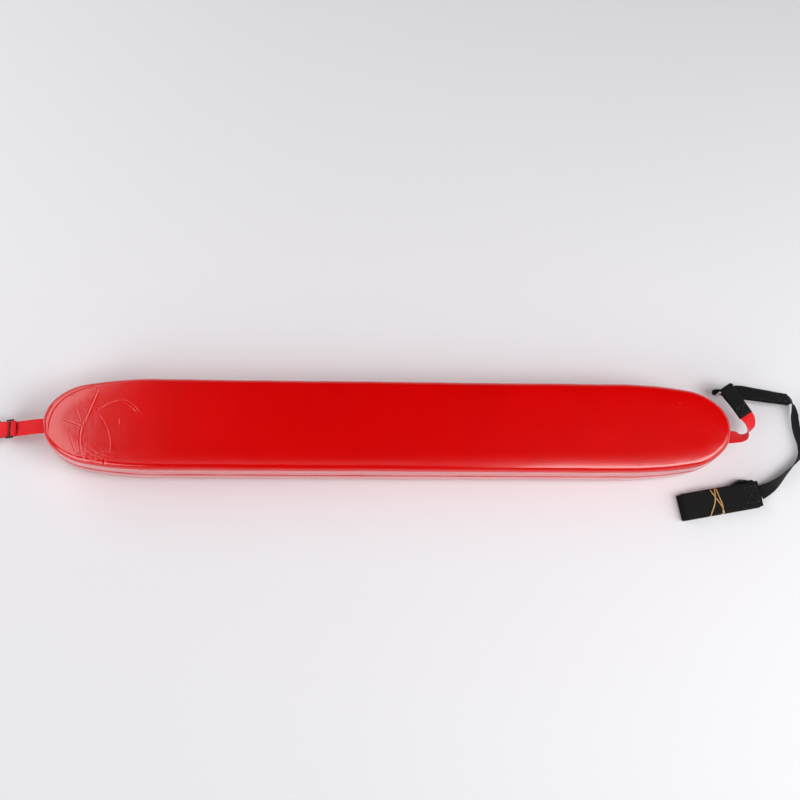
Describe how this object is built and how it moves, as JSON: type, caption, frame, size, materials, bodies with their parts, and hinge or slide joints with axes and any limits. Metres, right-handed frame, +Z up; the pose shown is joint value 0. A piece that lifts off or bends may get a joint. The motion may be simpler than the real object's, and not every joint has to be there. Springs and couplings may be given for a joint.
{
  "type": "rescue tube",
  "caption": "Long foam rescue tube with rounded ends in a coated skin, a webbing strap through it, a snap hook on one end, and a D-ring with a tow line and folded shoulder strap on the other.",
  "frame": {"origin": "centre of the tube's flat bottom, on the surface it lies on", "axes": "+X along the tube to the tow line end, +Y across it, +Z up"},
  "size_m": [1.456, 0.2347, 0.085],
  "materials": {
    "foam": "closed-cell foam, matte",
    "red_skin": "glossy coated fabric",
    "red_webbing": "woven, matte",
    "black_webbing": "woven, matte",
    "black_strap": "woven, matte",
    "black_thread": "thread",
    "black_plastic": "moulded, satin",
    "black_metal": "black coating, satin",
    "steel": "polished stainless steel",
    "tan_rubber": "natural rubber, satin"
  },
  "bodies": {
    "tube": {"foam_core_lower": "foam", "foam_core_upper": "foam", "skin_lower": "red_skin", "skin_upper": "red_skin", "side_seam": "red_skin", "load_webbing": "red_webbing", "hook_webbing": "red_webbing", "hook_slider": "black_plastic", "ring_webbing_red": "red_webbing", "ring_strap": "black_webbing", "ring_stitching": "black_thread", "tow_loop": "black_webbing", "tow_stitching": "black_thread", "tow_line": "black_webbing", "shoulder_strap": "black_strap", "tow_line_folds": "black_webbing", "shoulder_stitching": "black_thread", "rubber_band": "tan_rubber"},
    "eye": {"swivel_eye": "black_metal"},
    "hook": {"swivel_rivet": "steel", "hook_body": "black_metal", "hook_spring": "steel"},
    "bolt": {"gate_bolt": "steel", "bolt_knob": "steel"},
    "ring": {"d_ring": "steel"}
  },
  "joints": [
    {"name": "eye_hinge", "type": "hinge", "parent": "tube", "child": "eye", "pos_m": [-0.649, 0.0035, 0.009], "axis": [0, 1, 0], "range_deg": [-60, 75]},
    {"name": "hook_swivel", "type": "hinge", "parent": "eye", "child": "hook", "pos_m": [-0.668, 0.0035, 0.009], "axis": [1, 0, 0], "continuous": true},
    {"name": "bolt_slide", "type": "slide", "parent": "hook", "child": "bolt", "axis": [1, 0, 0], "range_m": [0, 0.012], "stiffness_N_per_m": 200, "springref_m": -0.01},
    {"name": "ring_hinge", "type": "hinge", "parent": "tube", "child": "ring", "pos_m": [0.57404, 0.07782, 0.0485], "axis": [0.8387, 0.5446, 0], "range_deg": [-3, 3]}
  ]
}
